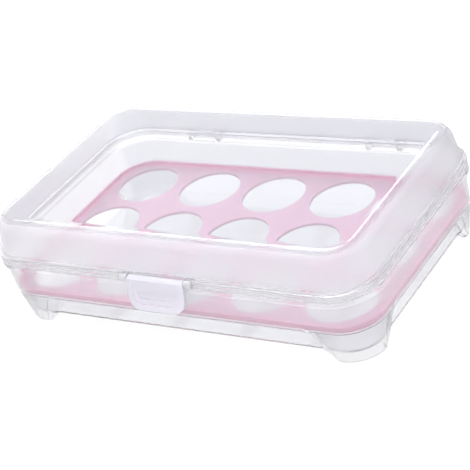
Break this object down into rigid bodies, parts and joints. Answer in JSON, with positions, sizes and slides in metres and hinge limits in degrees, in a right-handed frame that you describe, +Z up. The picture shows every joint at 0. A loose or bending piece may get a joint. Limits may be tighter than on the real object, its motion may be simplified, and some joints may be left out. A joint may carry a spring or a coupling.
{
  "type": "egg keeper",
  "caption": "Clear lidded egg keeper: footed case with a hinged flip lid, a front snap tab and a lift-out tray of round egg holes",
  "frame": {"origin": "Middle of the footprint, on the table the feet stand on", "axes": "+X runs along the length, -Y is the side with the tab, +Z is up"},
  "size_m": [0.2448, 0.1629, 0.0664],
  "materials": {
    "clear_case": "clear polished plastic with a faint cool tint",
    "pink_tray": "smooth pale pink plastic",
    "clear_lid": "clear polished plastic with a faint cool tint",
    "tab": "translucent lavender plastic"
  },
  "bodies": {
    "base": {"base": "clear_case"},
    "egg_tray": {"egg_tray": "pink_tray"},
    "lid": {"lid": "clear_lid"},
    "latch": {"latch": "tab"}
  },
  "joints": [
    {"name": "tray_lift", "type": "slide", "parent": "base", "child": "egg_tray", "axis": [0, 0, 1], "range_m": [0, 0.017]},
    {"name": "lid_hinge", "type": "hinge", "parent": "base", "child": "lid", "pos_m": [0, 0.0779, 0.041], "axis": [-1, 0, 0], "range_deg": [0, 110]},
    {"name": "latch_hinge", "type": "hinge", "parent": "lid", "child": "latch", "pos_m": [0, -0.0741, 0.0434], "axis": [-1, 0, 0], "range_deg": [0, 135]}
  ]
}
